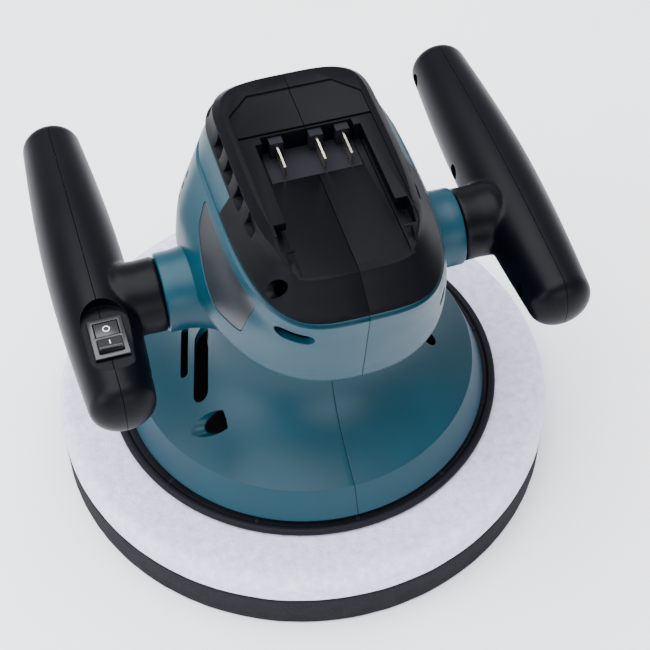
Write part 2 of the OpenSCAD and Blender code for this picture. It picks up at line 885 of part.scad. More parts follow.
// Left half, or the right half before it is mirrored
module dock_half_shell(left) {
    difference() {
        union() {
            difference() {
                loft_half(dock_rows, 0, body_top);
                difference() {
                    loft_half(concat([dock_rows[0] - [3, 0, 0, 0, 0, 0]], dock_rows), -floor_t, body_top);
                    block([-100, -150, floor_z - floor_t], [1, 100, floor_z + 30]);
                }
                block([-100, step_y - seam, 0], [1, 100, body_top + rear_rise + seam]);
            }
            intersection() {
                difference() {
                    loft_half(lip_rows, 0, body_top);
                    loft_half(lip_core, -2, body_top);
                }
                block([-100, -150, 0], [1, step_y - 1, rail_z]);
            }
            intersection() {
                for (p = dock_screw_yz) bar_x(boss_r, -half_w, 0, p[0], p[1]);
                loft_half(dock_rows, -0.5, body_top);
            }
        }
        block([-slot_half, -150, floor_z], [1, slot_rear_y, rail_z + 10]);
        block([-slot_half - 3, -150, floor_z + 1.5], [1, slot_rear_y - 2, floor_z + 5]);
        block([-slot_half - 5, latch_y[0], floor_z + 1.5], [1, latch_y[1], rail_z + 10]);
        translate([0, 0, rail_z - panel_t]) linear_extrude(panel_t + 1) polygon([
            [-panel_half, -100], [-panel_half, panel_rear_y - panel_corner],
            [-panel_half + panel_corner, panel_rear_y], [1, panel_rear_y], [1, -100]
        ]);
        translate([-100, 0, 0]) rotate([90, 0, 90]) linear_extrude(101)
            polygon([
                [rail_front_y, rail_z - 1.5], [apron_y, floor_z], [-150, floor_z],
                [-150, rail_z + 10], [rail_front_y, rail_z + 10]
            ]);
        block([-100, -150, rail_z], [1, 100, rail_z + 10]);
        block([-panel_half, -8.6, rail_z - panel_t - 1], [1, -7.4, rail_z + 1]);
        block([-block_half - 0.1, block_y[0] - 0.1, floor_z - 10], [1, block_y[1] + 0.1, rail_z + 1]);
        for (p = dock_screw_yz) {
            bar_x(screw_r + (left ? 0.2 : 0), left ? -half_w : -18, 1, p[0], p[1]);
            if (left) bar_x(screw_head_r + 0.3, -half_w, -20, p[0], p[1]);
        }
        for (i = [0:3]) translate([-dock_half, -rib_pitch * i, 0])
            block([-8, -7.5, body_top + 9.5], [1.4, 0.5, rail_z - 3.5]);
        block([-seam / 2, -150, 0], [10, 150, rail_z + 20]);
    }
}

module dock_left() {
    color("#16161c") dock_half_shell(true);
}

module dock_right() {
    color("#16161c") mirror([1, 0, 0]) dock_half_shell(false);
}

module dock_screws() {
    color("#8c8e92")
    for (p = dock_screw_yz) translate([-20.05, p[0], p[1]]) rotate([0, -90, 0])
        screw(screw_r - 0.05, 20 + 14, screw_head_r, 2.2);
}

module terminal_block() {
    color("#101014")
    difference() {
        union() {
            block([-block_half, block_y[0], floor_z - 8], [block_half, block_y[1], floor_z - 0.2]);
            for (x = blade_x)
                block([x - tower_half, block_y[1] - 4, floor_z - 1], [x + tower_half, block_y[1], rail_z - 2]);
        }
        for (x = blade_x)
            block([x - blade_t / 2 - 0.05, blade_y[0] - 0.05, floor_z - 20],
                [x + blade_t / 2 + 0.05, blade_y[1] + 0.05, floor_z + 20]);
    }
}

module blade(x) {
    block([x - blade_t / 2, blade_y[0], floor_z - blade_root], [x + blade_t / 2, blade_y[1], floor_z + blade_h]);
}

module positive_blade() {
    color("#c8b070") blade(blade_x[0]);
}

module signal_blade() {
    color("#c8b070") blade(blade_x[1]);
}

module negative_blade() {
    color("#c8b070") blade(blade_x[2]);
}

// ---- Handles ----

// Half outline of the grip as radius and place along the handle, inset by depth
function grip_outline(depth) = let (
    front = -handle_front + depth,
    rear = handle_rear - depth,
    rf = grip_front_r - depth,
    rr = grip_rear_r - depth,
    dome_f = rf * 0.62,
    dome_r = rr * 0.62,
    steps = 12
) concat(
    [for (a = [0:18:72]) [rf * sin(a), front + dome_f * (1 - cos(a))]],
    [for (i = [0:steps]) let (t = i / steps)
        [rf + (rr - rf) * t + grip_swell * sin(180 * t), front + dome_f + (rear - dome_r - front - dome_f) * t]],
    [for (a = [72:-18:0]) [rr * sin(a), rear - dome_r * (1 - cos(a))]]
);

module grip_solid(depth) {
    translate([-handle_x, 0, handle_z]) rotate([-90, 0, 0]) rotate_extrude()
        polygon(grip_outline(depth));
}

stub_start = collar_end + seam;

module stub_solid() {
    translate([0, stub_y, handle_z]) rotate([0, -90, 0]) rotate_extrude()
        polygon(concat(
            [[0, half_w - 2], [tenon_r, half_w - 2], [tenon_r, stub_start], [collar_r - 1.6, stub_start]],
            [[collar_r - 1, stub_start + 0.8], [collar_r - 1.3, handle_x - 18], [collar_r - 0.7, handle_x - 2], [0, handle_x - 2]]
        ));
}

module grip_bosses(x0, x1) {
    for (y = grip_screw_y) bar_x(3.8, x0, x1, y, handle_z);
}

// Flat-bottomed recess with round ends in the top of the left handle, and the switch's opening
module switch_cut() {
    end = recess_len / 2 - recess_half_w;
    hole = [switch_body_w / 2 + 0.2, switch_body_len / 2 + 0.2];
    translate([switch_x, switch_y, 0]) {
        for (y = [-end, end]) translate([0, y, 0]) post(recess_half_w, switch_z, switch_z + 20);
        block([-recess_half_w, -end, switch_z], [recess_half_w, end, switch_z + 20]);
        block([-hole[0], -hole[1], switch_floor_z - 5], [hole[0], hole[1], switch_z + 1]);
    }
}

// Floor of the recess, on one side of the seam
module recess_floor(x0, x1) {
    intersection() {
        grip_solid(1);
        block([x0, switch_y - recess_len / 2 - 1, switch_z - recess_floor_t],
            [x1, switch_y + recess_len / 2 + 1, switch_z + 1]);
    }
}

// Shell nearer the body, on the left side; it carries the stub
module handle_inner(with_switch) {
    difference() {
        union() {
            if (with_switch) recess_floor(-handle_x + seam / 2, -handle_x + 20);
            difference() {
                union() {
                    intersection() {
                        grip_solid(0);
                        block([-handle_x + seam / 2, -200, 0], [-handle_x + 40, 200, 200]);
                    }
                    stub_solid();
                }
                grip_solid(grip_wall);
                bar_x(tenon_r - 3, -handle_x - 1, 0, stub_y, handle_z);
            }
            intersection() {
                grip_solid(1);
                grip_bosses(-handle_x + seam / 2, -handle_x + 20);
            }
        }
        block([-handle_x - 40, -200, 0], [-handle_x + seam / 2, 200, 200]);
        for (y = grip_screw_y) {
            bar_x(screw_r + 0.2, -handle_x - 1, 0, y, handle_z);
            bar_x(screw_head_r + 0.4, -handle_x + 7, 0, y, handle_z);
        }
        if (with_switch) switch_cut();
    }
}

module handle_outer(with_switch) {
    difference() {
        union() {
            if (with_switch) recess_floor(-handle_x - 20, -handle_x - seam / 2);
            intersection() {
                difference() {
                    grip_solid(0);
                    grip_solid(grip_wall);
                }
                block([-handle_x - 40, -200, 0], [-handle_x - seam / 2, 200, 200]);
            }
            intersection() {
                grip_solid(1);
                grip_bosses(-handle_x - 20, -handle_x - seam / 2);
            }
        }
        for (y = grip_screw_y) bar_x(screw_r, -handle_x - 9, -handle_x + 1, y, handle_z);
        if (with_switch) switch_cut();
    }
}

module handle_screws() {
    for (y = grip_screw_y) translate([-handle_x + 7.05, y, handle_z]) rotate([0, 90, 0])
        screw(screw_r - 0.05, 14, screw_head_r, 2.2);
}

module left_handle_inner() {
    color("#141418") handle_inner(true);
}

module left_handle_outer() {
    color("#141418") handle_outer(true);
}

module left_handle_screws() {
    color("#8c8e92") handle_screws();
}

module right_handle_inner() {
    color("#141418") mirror([1, 0, 0]) handle_inner(false);
}

module right_handle_outer() {
    color("#141418") mirror([1, 0, 0]) handle_outer(false);
}

module right_handle_screws() {
    color("#8c8e92") mirror([1, 0, 0]) handle_screws();
}

// ---- Switch ----

module switch_frame() {
    color("#0c0c10")
    translate([switch_x, switch_y, 0])
    difference() {
        union() {
            block([-bezel_w / 2, -bezel_len / 2, switch_z + 0.05], [bezel_w / 2, bezel_len / 2, switch_z + bezel_t]);
            block([-switch_body_w / 2, -switch_body_len / 2, switch_floor_z - 2], [switch_body_w / 2, switch_body_len / 2, switch_z + 0.1]);
        }
        block([-well_w / 2, -well_len / 2, switch_floor_z], [well_w / 2, well_len / 2, switch_z + 10]);
        bar_x(pivot_r + fit, -switch_body_w / 2 + 0.2, switch_body_w / 2 - 0.2, 0, pivot_z);
        for (y = [-4, 4]) block([-2.4, y - 0.45, switch_floor_z - 3], [2.4, y + 0.45, switch_floor_z + 1]);
    }
}

module switch_rocker() {
    v = 1.6;
    color("#141418")
    translate([switch_x, switch_y, pivot_z])
    rotate([-rocker_travel / 2, 0, 0])
    union() {
        translate([-5, 0, 0]) rotate([90, 0, 90]) linear_extrude(10)
            intersection() {
                circle(r = rocker_r, $fn = 64);
                polygon([[-9, v * 1.7], [0, v * 0.55], [9, v * 1.7], [9, -3], [3, -6], [-3, -6], [-9, -3]]);
            }
        bar_x(pivot_r, -switch_body_w / 2 + 0.5, switch_body_w / 2 - 0.5, 0, 0);
    }
}

module switch_terminals() {
    color("#c8b070")
    for (y = [-4, 4]) translate([switch_x, switch_y + y, 0])
        block([-2.35, -0.4, switch_floor_z - 6.5], [2.35, 0.4, switch_floor_z + 0.8]);
}

// ---- Leads, hand-routed inside the shells ----

lead_r = 1.1;

// Smooth curve through a route's points
function curve(p, steps = 5) = [
    for (i = [0:len(p) - 2]) for (k = [0:steps - (i == len(p) - 2 ? 0 : 1)])
        let (
            t = k / steps,
            a = p[max(i - 1, 0)],
            b = p[i],
            c = p[i + 1],
            d = p[min(i + 2, len(p) - 1)]
        )
        0.5 * (2 * b + (c - a) * t + (2 * a - 5 * b + 4 * c - d) * t * t + (3 * b - a - 3 * c + d) * t * t * t)
];

lead_low = floor_z - blade_root - 0.6;

tag_z = switch_floor_z - 8;

module supply_lead() {
    color("#a02020")
    tube(curve([
        [blade_x[0], -19, lead_low], [blade_x[0] - 2, -18, lead_low - 6], [-half_w + 16, -10, cap_plate_top + 5],
        [-half_w + 12, -8, handle_z + 20], [-half_w + 6, -9, handle_z + 4],
        [-handle_x + 24, -10, handle_z + 1],
        [-handle_x + 9, -12, handle_z + 1], [-handle_x - 1, -20, handle_z - 3], [-handle_x - 2, -31, handle_z - 8],
        [switch_x, switch_y + 4.5, handle_z - 9], [switch_x, switch_y + 4, tag_z]
    ]), lead_r);
}

module switched_lead() {
    color("#b06a20")
    tube(curve([
        [switch_x, switch_y - 4, tag_z], [switch_x + 2, switch_y - 1, handle_z - 10.5],
        [-handle_x + 6, -27, handle_z - 8], [-handle_x + 12, -17, handle_z - 5], [-handle_x + 24, -14, handle_z - 6],
        [-half_w + 3, -16, handle_z - 5], [-half_w + 12, -30, handle_z + 10], [-half_w + 17, -30, handle_z + 29],
        [-27, -20, cap_plate_top + 4], [-18, -12, cap_plate_top + 1.3]
    ]), lead_r);
}

module return_lead() {
    color("#202024")
    tube(curve([
        [blade_x[2], -19, lead_low], [blade_x[2] + 3, -20, lead_low - 4],
        [22, -16, cap_plate_top + 6], [18, -12, cap_plate_top + 1.3]
    ]), lead_r);
}

polishing_foam();
cushion_foam();
backing_plate();
plate_hub();
plate_screws();
pad_spindle();
spindle_circlip();
pad_bearing_outer();
pad_bearing_inner();
pad_bearing_balls();
eccentric_hub();
hub_set_screw();
hub_circlip();
motor_shaft();
armature_core();
armature_windings();
commutator();
cooling_fan();
lower_bearing_outer();
lower_bearing_inner();
lower_bearing_balls();
upper_bearing_outer();
upper_bearing_inner();
upper_bearing_balls();
motor_can();
motor_magnets();
motor_end_cap();
brush_holders();
carbon_brushes();
brush_springs();
motor_mount();
housing_left();
housing_right();
housing_screws();
name_plate();
dock_left();
dock_right();
dock_screws();
terminal_block();
positive_blade();
negative_blade();
signal_blade();
left_handle_inner();
left_handle_outer();
left_handle_screws();
right_handle_inner();
right_handle_outer();
right_handle_screws();
switch_frame();
switch_rocker();
switch_terminals();
supply_lead();
switched_lead();
return_lead();
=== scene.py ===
import json
import math

import bmesh
import bpy
from mathutils import Matrix, Vector


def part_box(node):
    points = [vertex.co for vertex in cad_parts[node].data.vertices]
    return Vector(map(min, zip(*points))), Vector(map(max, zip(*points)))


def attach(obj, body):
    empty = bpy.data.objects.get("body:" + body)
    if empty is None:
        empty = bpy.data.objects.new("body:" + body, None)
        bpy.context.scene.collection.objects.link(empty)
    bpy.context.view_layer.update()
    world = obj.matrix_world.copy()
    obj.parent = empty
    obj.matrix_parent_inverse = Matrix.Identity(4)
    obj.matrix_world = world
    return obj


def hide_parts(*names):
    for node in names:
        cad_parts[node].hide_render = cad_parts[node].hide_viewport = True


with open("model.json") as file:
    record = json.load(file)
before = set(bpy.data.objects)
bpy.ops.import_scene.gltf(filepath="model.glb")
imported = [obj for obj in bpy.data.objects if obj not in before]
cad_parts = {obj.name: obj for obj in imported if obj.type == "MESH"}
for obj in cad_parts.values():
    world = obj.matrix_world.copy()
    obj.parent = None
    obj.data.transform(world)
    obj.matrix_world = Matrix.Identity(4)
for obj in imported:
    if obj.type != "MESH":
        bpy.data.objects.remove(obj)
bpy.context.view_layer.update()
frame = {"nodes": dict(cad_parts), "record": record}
mm = 0.001
print("frame loaded")


# ---- small helpers, all lengths in metres unless a name says otherwise ----

def deselect():
    if bpy.context.object and bpy.context.object.mode != "OBJECT":
        bpy.ops.object.mode_set(mode="OBJECT")
    bpy.ops.object.select_all(action="DESELECT")


def pick(obj):
    deselect()
    obj.select_set(True)
    bpy.context.view_layer.objects.active = obj
    return obj


def editAll(obj):
    pick(obj)
    bpy.ops.object.mode_set(mode="EDIT")
    bpy.ops.mesh.select_mode(type="VERT")
    bpy.ops.mesh.select_all(action="SELECT")


def objectMode():
    bpy.ops.object.mode_set(mode="OBJECT")


def settle(obj):  # place and turn go into the mesh, and the object stays at the origin
    pick(obj)
    bpy.ops.object.transform_apply(location=True, rotation=True, scale=True)
    return obj


def outward(obj):
    editAll(obj)
    bpy.ops.mesh.remove_doubles(threshold=1e-6)
    bpy.ops.mesh.normals_make_consistent(inside=False)
    objectMode()
    return obj


def smooth(obj, angle=35):
    pick(obj)
    bpy.ops.object.shade_smooth_by_angle(angle=math.radians(angle))
    return obj


def finishWith(obj, kind, **settings):  # adds one modifier, sets it and applies it
    pick(obj)
    mod = obj.modifiers.new(kind.title(), kind)
    for key, value in settings.items():
        setattr(mod, key, value)
    bpy.ops.object.modifier_apply(modifier=mod.name)
    return obj


def copyOf(obj, name):
    twin = obj.copy()
    twin.data = obj.data.copy()
    twin.name = name
    bpy.context.collection.objects.link(twin)
    return twin


def combine(base, tools, operation):
    for tool in tools:
        finishWith(base, "BOOLEAN", object=tool, operation=operation, solver="EXACT")
        bpy.data.objects.remove(tool)
    return base


def cut(base, *tools):
    return combine(base, tools, "DIFFERENCE")


def join(base, *tools):
    return combine(base, tools, "UNION")


def bevelEdges(obj, width, angle=40, segments=2):
    return finishWith(obj, "BEVEL", width=width, segments=segments, limit_method="ANGLE",
                      angle_limit=math.radians(angle), harden_normals=False)


def ringStack(name, count, sides, place, closed=False):
    # A circle is extruded into a stack of rings, and place(ring, angle) sets each point
    deselect()
    bpy.ops.mesh.primitive_circle_add(vertices=sides, radius=1, fill_type="NOTHING")
    obj = bpy.context.object
    obj.name = name
    editAll(obj)
    for _ in range(count - 1):
        bpy.ops.mesh.extrude_region_move(TRANSFORM_OT_translate={"value": (0, 0, 1)})
    if not closed:
        bpy.ops.mesh.edge_face_add()
    mesh = bmesh.from_edit_mesh(obj.data)
    bpy.ops.mesh.select_all(action="DESELECT")
    for v in mesh.verts:
        v.select = v.co.z < 0.5 or (closed and v.co.z > count - 1.5)
    mesh.select_flush(True)
    for face in mesh.faces:
        if closed or len(face.verts) > 4:
            face.select = False
    for edge in mesh.edges:
        levels = [round(v.co.z) for v in edge.verts]
        edge.select = levels[0] == levels[1] and (levels[0] == 0 or (closed and levels[0] == count - 1))
    bmesh.update_edit_mesh(obj.data)
    bpy.ops.mesh.select_mode(type="EDGE")
    if closed:
        bpy.ops.mesh.bridge_edge_loops()
    else:
        bpy.ops.mesh.edge_face_add()
    objectMode()
    for v in obj.data.vertices:
        v.co = place(round(v.co.z), math.atan2(v.co.y, v.co.x))
    return outward(obj)


def turned(name, profile, sides=128, centre=(0, 0, 0), axis="Z", closed=False):
    # profile is a list of (radius, place along the axis); axis X or Y lays the stack down
    def place(ring, a):
        r, h = profile[ring]
        if axis == "Z":
            p = (r * math.cos(a), r * math.sin(a), h)
        elif axis == "Y":
            p = (r * math.cos(a), h, r * math.sin(a))
        else:
            p = (h, r * math.cos(a), r * math.sin(a))
        return Vector(p) * mm + Vector(centre) * mm
    return ringStack(name, len(profile), sides, place, closed)


def box(name, low, high, bevel=0, segments=2):  # corners in millimetres
    deselect()
    low, high = Vector(low), Vector(high)
    bpy.ops.mesh.primitive_cube_add(size=1, location=(low + high) / 2 * mm, scale=(high - low) * mm)
    obj = settle(bpy.context.object)
    obj.name = name
    if bevel:
        editAll(obj)
        bpy.ops.mesh.bevel(offset=bevel * mm, segments=segments, affect="EDGES")
        objectMode()
    return obj


def barX(name, r, x0, x1, y, z, sides=32):
    return turned(name, [(r, x0), (r, x1)], sides, (0, y, z), "X")


def extruded(name, outline, axis, a, b):  # outline in the plane across the axis, in millimetres
    deselect()
    bpy.ops.mesh.primitive_circle_add(vertices=len(outline), radius=1, fill_type="NGON")
    obj = bpy.context.object
    obj.name = name

    def spot(p, h):
        return {"X": (h, p[0], p[1]), "Y": (p[0], h, p[1]), "Z": (p[0], p[1], h)}[axis]
    order = sorted(obj.data.vertices, key=lambda v: (math.atan2(v.co.y, v.co.x) + 2 * math.pi - 1e-4) % (2 * math.pi))
    for v, p in zip(order, outline):
        v.co = Vector(spot(p, a)) * mm
    editAll(obj)
    shift = Vector(spot((0, 0), b - a)) * mm
    bpy.ops.mesh.extrude_region_move(TRANSFORM_OT_translate={"value": shift})
    objectMode()
    return outward(obj)


def halves(obj, seamAt, gap, names, edge=0.25):
    # Parts a body on a plane across X, with a small bevel along the seam
    parts = []
    for side, name in zip((-1, 1), names):
        part = copyOf(obj, name)
        editAll(part)
        x = (seamAt + side * gap / 2) * mm
        bpy.ops.mesh.bisect(plane_co=(x, 0, 0), plane_no=(side, 0, 0), use_fill=True, clear_inner=True)
        mesh = bmesh.from_edit_mesh(part.data)
        bpy.ops.mesh.select_all(action="DESELECT")
        bpy.ops.mesh.select_mode(type="EDGE")
        for e in mesh.edges:
            onSeam = all(abs(v.co.x - x) < 1e-6 for v in e.verts)
            e.select = onSeam and len(e.link_faces) == 2 and any(
                any(abs(v.co.x - x) > 1e-6 for v in f.verts) for f in e.link_faces)
        bmesh.update_edit_mesh(part.data)
        if edge:
            bpy.ops.mesh.bevel(offset=edge * mm, segments=2, affect="EDGES", clamp_overlap=True)
        objectMode()
        parts.append(outward(part))
    bpy.data.objects.remove(obj)
    return parts


def hermite(rows, h):  # a smooth row at height h, through the given rows
    i = max(k for k in range(len(rows) - 1) if rows[k][0] <= h or k == 0)
    lo, hi = rows[i], rows[i + 1]
    before, after = rows[max(i - 1, 0)], rows[min(i + 2, len(rows) - 1)]
    t = (h - lo[0]) / (hi[0] - lo[0])
    out = [h]
    for k in range(1, len(lo)):
        m0 = (hi[k] - before[k]) / (hi[0] - before[0]) * (hi[0] - lo[0])
        m1 = (after[k] - lo[k]) / (after[0] - lo[0]) * (hi[0] - lo[0])
        out.append((2 * t**3 - 3 * t**2 + 1) * lo[k] + (t**3 - 2 * t**2 + t) * m0
                   + (3 * t**2 - 2 * t**3) * hi[k] + (t**3 - t**2) * m1)
    return out


def lofted(name, rows, grow, base, sides=128):
    # A row is height, half width, front and rear reach, then front and rear squareness
    def place(ring, a):
        h, half, front, rear, frontPower, rearPower = rows[ring]
        reach = front if math.sin(a) < 0 else rear
        e = 2 / (frontPower if math.sin(a) < 0 else rearPower)
        x = (half + grow) * math.copysign(abs(math.cos(a)) ** e, math.cos(a))
        y = (reach + grow) * math.copysign(abs(math.sin(a)) ** e, math.sin(a))
        return Vector((x, y, base + h)) * mm
    return ringStack(name, len(rows), sides, place)


def steps(a, b, n):
    return [a + (b - a) * i / n for i in range(n + 1)]


# ---- levels, in millimetres, from the frame ----

def corner(node, end, axis):
    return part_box(node)[end]["xyz".index(axis)] / mm


skirtLow = corner("housing_right", 0, "z")
levels = {"rim": 16.0, "flare": 48.5, "bulb": 88.0, "dockFloor": 10.0}
rimZ = skirtLow + levels["rim"]
neckZ = rimZ + levels["flare"]
bodyTop = neckZ + levels["bulb"]
floorZ = bodyTop + levels["dockFloor"]
railZ = corner("dock_left", 1, "z")
padTop = corner("cushion_foam", 1, "z")
foamSplit = corner("polishing_foam", 1, "z")
padY = (corner("polishing_foam", 0, "y") + corner("polishing_foam", 1, "y")) / 2
padR = (corner("polishing_foam", 1, "x") - corner("polishing_foam", 0, "x")) / 2
gripX = -corner("left_handle_outer", 1, "x") - 0.1
gripZ = (corner("right_handle_outer", 0, "z") + corner("right_handle_outer", 1, "z")) / 2
stubY = -13
seam = 0.2


# ---- materials ----

def nodesOf(name):
    mat = bpy.data.materials.new(name)
    mat.use_nodes = True
    tree = mat.node_tree
    return mat, tree, tree.nodes["Principled BSDF"]


def add(tree, kind, **inputs):
    node = tree.nodes.new(kind)
    for key, value in inputs.items():
        if hasattr(node, key):
            setattr(node, key, value)
        else:
            node.inputs[key.replace("_", " ")].default_value = value
    return node


def objectNoise(tree, scale, detail=3.0, rough=0.55):
    coords = tree.nodes.new("ShaderNodeTexCoord")
    noise = add(tree, "ShaderNodeTexNoise", Scale=scale, Detail=detail, Roughness=rough)
    tree.links.new(coords.outputs["Object"], noise.inputs["Vector"])
    return noise


def shade(tree, driver, low, high, a=0.35, b=0.65):  # a noise turned into a range of colour
    ramp = tree.nodes.new("ShaderNodeValToRGB")
    ramp.color_ramp.elements[0].position = a
    ramp.color_ramp.elements[1].position = b
    ramp.color_ramp.elements[0].color = (*low, 1)
    ramp.color_ramp.elements[1].color = (*high, 1)
    tree.links.new(driver, ramp.inputs["Fac"])
    return ramp.outputs["Color"]


def ranged(tree, driver, low, high, a=0.3, b=0.7):
    span = add(tree, "ShaderNodeMapRange", From_Min=a, From_Max=b, To_Min=low, To_Max=high)
    tree.links.new(driver, span.inputs["Value"])
    return span.outputs["Result"]


def bumped(tree, shader, driver, strength, distance, edge=0.0):
    bump = add(tree, "ShaderNodeBump", Strength=strength, Distance=distance)
    tree.links.new(driver, bump.inputs["Height"])
    if edge:
        rounder = add(tree, "ShaderNodeBevel", samples=4, Radius=edge)
        tree.links.new(rounder.outputs["Normal"], bump.inputs["Normal"])
    tree.links.new(bump.outputs["Normal"], shader.inputs["Normal"])


def moulded(name, colour, rough, grain=900, depth=0.06, spread=0.08, edge=0.0, vary=0.12, specular=0.5):
    # Moulded plastic: a fine spark-eroded grain, and soft patches of more and less gloss
    mat, tree, shader = nodesOf(name)
    broad = objectNoise(tree, 35, 2)
    fine = objectNoise(tree, grain, 2)
    low = [c * (1 - vary) for c in colour]
    high = [c * (1 + vary) for c in colour]
    tree.links.new(shade(tree, broad.outputs["Fac"], low, high), shader.inputs["Base Color"])
    gloss = ranged(tree, broad.outputs["Fac"], rough - spread / 2, rough + spread / 2)
    tree.links.new(gloss, shader.inputs["Roughness"])
    bumped(tree, shader, fine.outputs["Fac"], depth, 0.0003, edge)
    shader.inputs["Specular IOR Level"].default_value = specular
    return mat


def metal(name, colour, rough, grain=(900, 900, 60), depth=0.04):
    # Drawn or turned metal, with fine lines along one way and slight stains
    mat, tree, shader = nodesOf(name)
    shader.inputs["Metallic"].default_value = 1.0
    coords = tree.nodes.new("ShaderNodeTexCoord")
    stretch = tree.nodes.new("ShaderNodeMapping")
    stretch.inputs["Scale"].default_value = grain
    lines = add(tree, "ShaderNodeTexNoise", Scale=1.0, Detail=4.0)
    tree.links.new(coords.outputs["Object"], stretch.inputs["Vector"])
    tree.links.new(stretch.outputs["Vector"], lines.inputs["Vector"])
    stain = objectNoise(tree, 120)
    tree.links.new(shade(tree, stain.outputs["Fac"], [c * 0.82 for c in colour], colour), shader.inputs["Base Color"])
    tree.links.new(ranged(tree, lines.outputs["Fac"], rough * 0.75, rough * 1.35), shader.inputs["Roughness"])
    bumped(tree, shader, lines.outputs["Fac"], depth, 0.0001)
    return mat


def darkFoam():
    mat, tree, shader = nodesOf("darkFoam")
    cells = objectNoise(tree, 1500, 4, 0.7)
    broad = objectNoise(tree, 60, 2)
    tree.links.new(shade(tree, cells.outputs["Fac"], (0.001, 0.001, 0.002), (0.014, 0.012, 0.018)),
                   shader.inputs["Base Color"])
    tree.links.new(ranged(tree, broad.outputs["Fac"], 0.9, 1.0), shader.inputs["Roughness"])
    bumped(tree, shader, cells.outputs["Fac"], 0.6, 0.0008)
    shader.inputs["Specular IOR Level"].default_value = 0.2
    return mat


def paleFoam():
    # Closed-cell foam: small cells, each turned a little differently so a few catch the light
    mat, tree, shader = nodesOf("paleFoam")
    coords = tree.nodes.new("ShaderNodeTexCoord")
    cells = add(tree, "ShaderNodeTexVoronoi", Scale=620.0, Randomness=1.0)
    big = add(tree, "ShaderNodeTexVoronoi", Scale=210.0, Randomness=1.0)
    tree.links.new(coords.outputs["Object"], cells.inputs["Vector"])
    tree.links.new(coords.outputs["Object"], big.inputs["Vector"])
    mottle = objectNoise(tree, 260, 5, 0.65)
    tree.links.new(shade(tree, mottle.outputs["Fac"], (0.50, 0.49, 0.68), (0.74, 0.73, 0.88), 0.3, 0.7),
                   shader.inputs["Base Color"])
    glint = tree.nodes.new("ShaderNodeSeparateColor")
    tree.links.new(cells.outputs["Color"], glint.inputs["Color"])
    tree.links.new(ranged(tree, glint.outputs["Red"], 0.75, 0.28, 0.78, 0.95), shader.inputs["Roughness"])
    blend = add(tree, "ShaderNodeMath", operation="ADD")
    tree.links.new(cells.outputs["Distance"], blend.inputs[0])
    tree.links.new(big.outputs["Distance"], blend.inputs[1])
    bumped(tree, shader, blend.outputs["Value"], 0.35, 0.0006)
    shader.inputs["Subsurface Weight"].default_value = 0.15
    shader.inputs["Subsurface Radius"].default_value = (0.004, 0.004, 0.005)
    shader.inputs["Subsurface Scale"].default_value = 1.0
    return mat


looks = {
    "dark_foam": darkFoam(),
    "white_foam": paleFoam(),
    "black_plastic": moulded("blackPlastic", (0.005, 0.005, 0.008), 0.55, edge=0.0003, specular=0.12),
    "teal_plastic": moulded("tealPlastic", (0.0, 0.03, 0.047), 0.38, grain=1100, depth=0.03, edge=0.0005, vary=0.06,
                            specular=0.22),
    "dock_plastic": moulded("dockPlastic", (0.0006, 0.0006, 0.0016), 0.45, grain=1600, depth=0.08,
                            edge=0.0004, specular=0.07),
    "handle_plastic": moulded("handlePlastic", (0.0006, 0.0006, 0.002), 0.38, grain=1300, depth=0.04,
                              edge=0.0004, specular=0.09),
    "switch_plastic": moulded("switchPlastic", (0.003, 0.003, 0.005), 0.25, grain=700, depth=0.02, edge=0.0003),
    "grey_plate": moulded("plateGrey", (0.006, 0.008, 0.011), 0.4, grain=1200, depth=0.03, edge=0.0002),
    "steel": metal("plainSteel", (0.55, 0.56, 0.58), 0.3),
    "zinc_steel": metal("zincSteel", (0.50, 0.51, 0.54), 0.38, (60, 60, 900)),
    "lamination": metal("laminatedCore", (0.30, 0.30, 0.32), 0.45, (40, 40, 2600), 0.2),
    "cast_iron": metal("castIron", (0.17, 0.17, 0.18), 0.62, (500, 500, 500), 0.3),
    "aluminium": metal("dieCast", (0.62, 0.63, 0.65), 0.48, (400, 400, 400), 0.15),
    "brass": metal("tinnedBrass", (0.78, 0.72, 0.58), 0.22, (60, 60, 900)),
    "copper": metal("enamelledCopper", (0.72, 0.33, 0.15), 0.3, (300, 300, 1500), 0.2),
    "ferrite": moulded("ferrite", (0.05, 0.05, 0.06), 0.7, grain=1500, depth=0.15),
    "carbon": moulded("carbon", (0.03, 0.03, 0.034), 0.62, grain=1800, depth=0.2),
    "red_lead": moulded("redLead", (0.42, 0.02, 0.02), 0.42),
    "brown_lead": moulded("brownLead", (0.22, 0.08, 0.03), 0.42),
    "black_lead": moulded("blackLead", (0.015, 0.015, 0.016), 0.42),
}
for part in frame["record"]["subparts"]:
    data = frame["nodes"][part["node"]].data
    data.materials.clear()
    data.materials.append(looks[part["material_slot"]])
print("materials made")


def piece(obj, body, slotName, replaced=(), material=None):
    obj.data.materials.clear()
    obj.data.materials.append(material or looks[slotName])
    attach(obj, body)
    if replaced:
        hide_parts(*replaced)
    return obj


# ---- foam pad and backing plate ----

plateR = (corner("backing_plate", 1, "x") - corner("backing_plate", 0, "x")) / 2
pad = {
    "coreR": 8.0, "softEdge": 1.8, "whiteRound": 6.0, "bead": 2.0, "plateR": plateR, "relief": 0.00035, "sides": 256,
}


def arcPoints(cx, cz, r, a0, a1, n):
    return [(cx + r * math.cos(math.radians(a)), cz + r * math.sin(math.radians(a))) for a in steps(a0, a1, n)]


def pitted(obj, name, size, amount):  # a shallow uneven skin, as cut foam has
    texture = bpy.data.textures.new(name, "CLOUDS")
    texture.noise_scale = size
    return finishWith(obj, "DISPLACE", texture=texture, strength=amount, mid_level=0.5, texture_coords="LOCAL")


